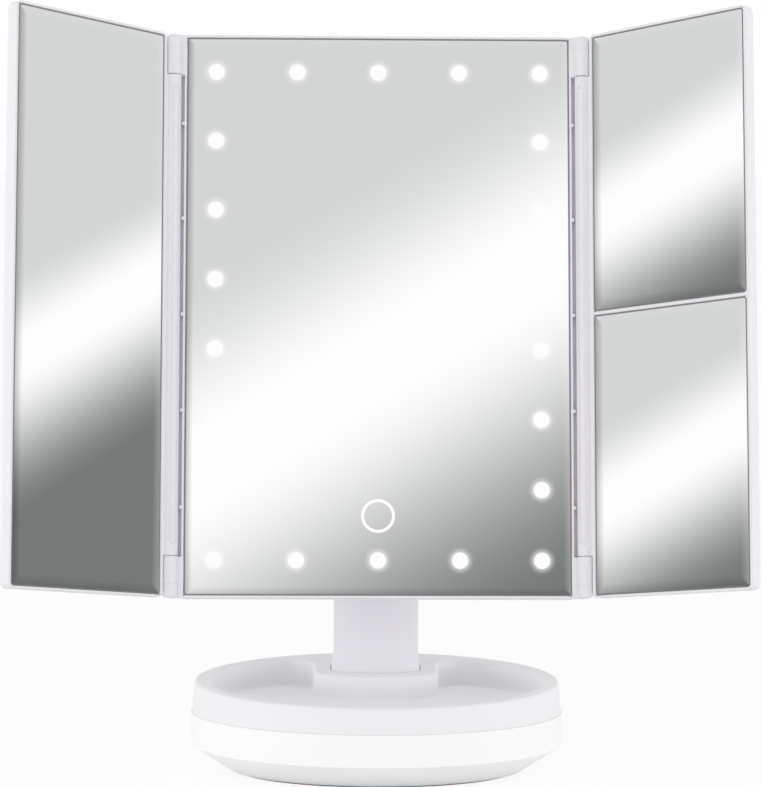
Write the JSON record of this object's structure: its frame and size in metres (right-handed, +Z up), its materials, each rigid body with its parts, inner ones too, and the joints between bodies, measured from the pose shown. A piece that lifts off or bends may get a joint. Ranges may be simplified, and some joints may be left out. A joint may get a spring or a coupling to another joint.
{
  "type": "lighted makeup mirror",
  "caption": "Tri-fold makeup mirror with lamps set round the main pane, a touch control, folding side wings, a tilting post and an oval tray base.",
  "frame": {"origin": "middle of the base pad's underside, on the table", "axes": "+Z up, +X to the viewer's right, -Y towards the viewer"},
  "size_m": [0.3002, 0.1304, 0.3168],
  "materials": {
    "frame_plastic": "satin",
    "post_plastic": "satin",
    "tray_plastic": "satin",
    "base_plastic": "satin",
    "mirror_glass": "polished",
    "diffuser_film": "matte",
    "steel": "brushed",
    "spring_steel": "polished",
    "bush_plastic": "matte",
    "washer_fibre": "matte",
    "pad_rubber": "matte",
    "foam_tape": "matte",
    "circuit_board": "satin",
    "lamp": "gloss",
    "copper": "satin",
    "cell_jacket": "gloss",
    "inlet_shell": "satin",
    "switch_plastic": "matte"
  },
  "bodies": {
    "stand": {"base_tray": "tray_plastic", "base_body": "base_plastic", "ballast_plate": "steel", "non_slip_pad": "pad_rubber", "base_screws": "steel", "post_screws": "steel", "post_shell": "post_plastic", "post_cover": "post_plastic", "post_cover_screws": "steel", "tilt_bushes": "bush_plastic"},
    "head": {"tilt_shaft": "steel", "tilt_nut": "steel", "tilt_washers": "washer_fibre", "tilt_caps": "frame_plastic", "main_frame": "frame_plastic", "hinge_caps": "frame_plastic", "hinge_pins": "steel", "main_mirror": "mirror_glass", "light_diffuser": "diffuser_film", "lamp_board": "circuit_board", "lamps": "lamp", "touch_electrode": "copper", "touch_spring": "spring_steel", "control_board": "circuit_board", "rear_housing": "frame_plastic", "housing_screws": "steel", "battery_box": "switch_plastic", "battery_cells": "cell_jacket", "battery_contacts": "copper", "battery_springs": "spring_steel", "power_board": "circuit_board", "usb_inlet": "inlet_shell", "switch_body": "switch_plastic"},
    "left_wing": {"left_wing_frame": "frame_plastic", "left_mirror": "mirror_glass", "left_mirror_pads": "foam_tape"},
    "right_wing": {"right_wing_frame": "frame_plastic", "right_upper_mirror": "mirror_glass", "right_lower_mirror": "mirror_glass", "right_mirror_pads": "foam_tape"},
    "battery_cover": {"battery_door": "frame_plastic"},
    "power_slider": {"switch_slider": "switch_plastic"}
  },
  "joints": [
    {"name": "head_tilt", "type": "hinge", "parent": "stand", "child": "head", "pos_m": [0, 0.02, 0.128], "axis": [-1, 0, 0], "range_deg": [-11.8, 48.2]},
    {"name": "left_wing_fold", "type": "hinge", "parent": "head", "child": "left_wing", "pos_m": [-0.0856, -0.00202, 0.1326], "axis": [0, 0.2045, 0.9789], "range_deg": [-44.4, 135.6]},
    {"name": "right_wing_fold", "type": "hinge", "parent": "head", "child": "right_wing", "pos_m": [0.0856, -0.00202, 0.1326], "axis": [0, -0.2045, -0.9789], "range_deg": [-44.4, 135.6]},
    {"name": "battery_cover_lift", "type": "slide", "parent": "head", "child": "battery_cover", "axis": [0, 0.9789, -0.2045], "range_m": [0, 0.015]},
    {"name": "power_switch", "type": "slide", "parent": "head", "child": "power_slider", "axis": [0, 0.2045, 0.9789], "range_m": [0, 0.003]}
  ]
}
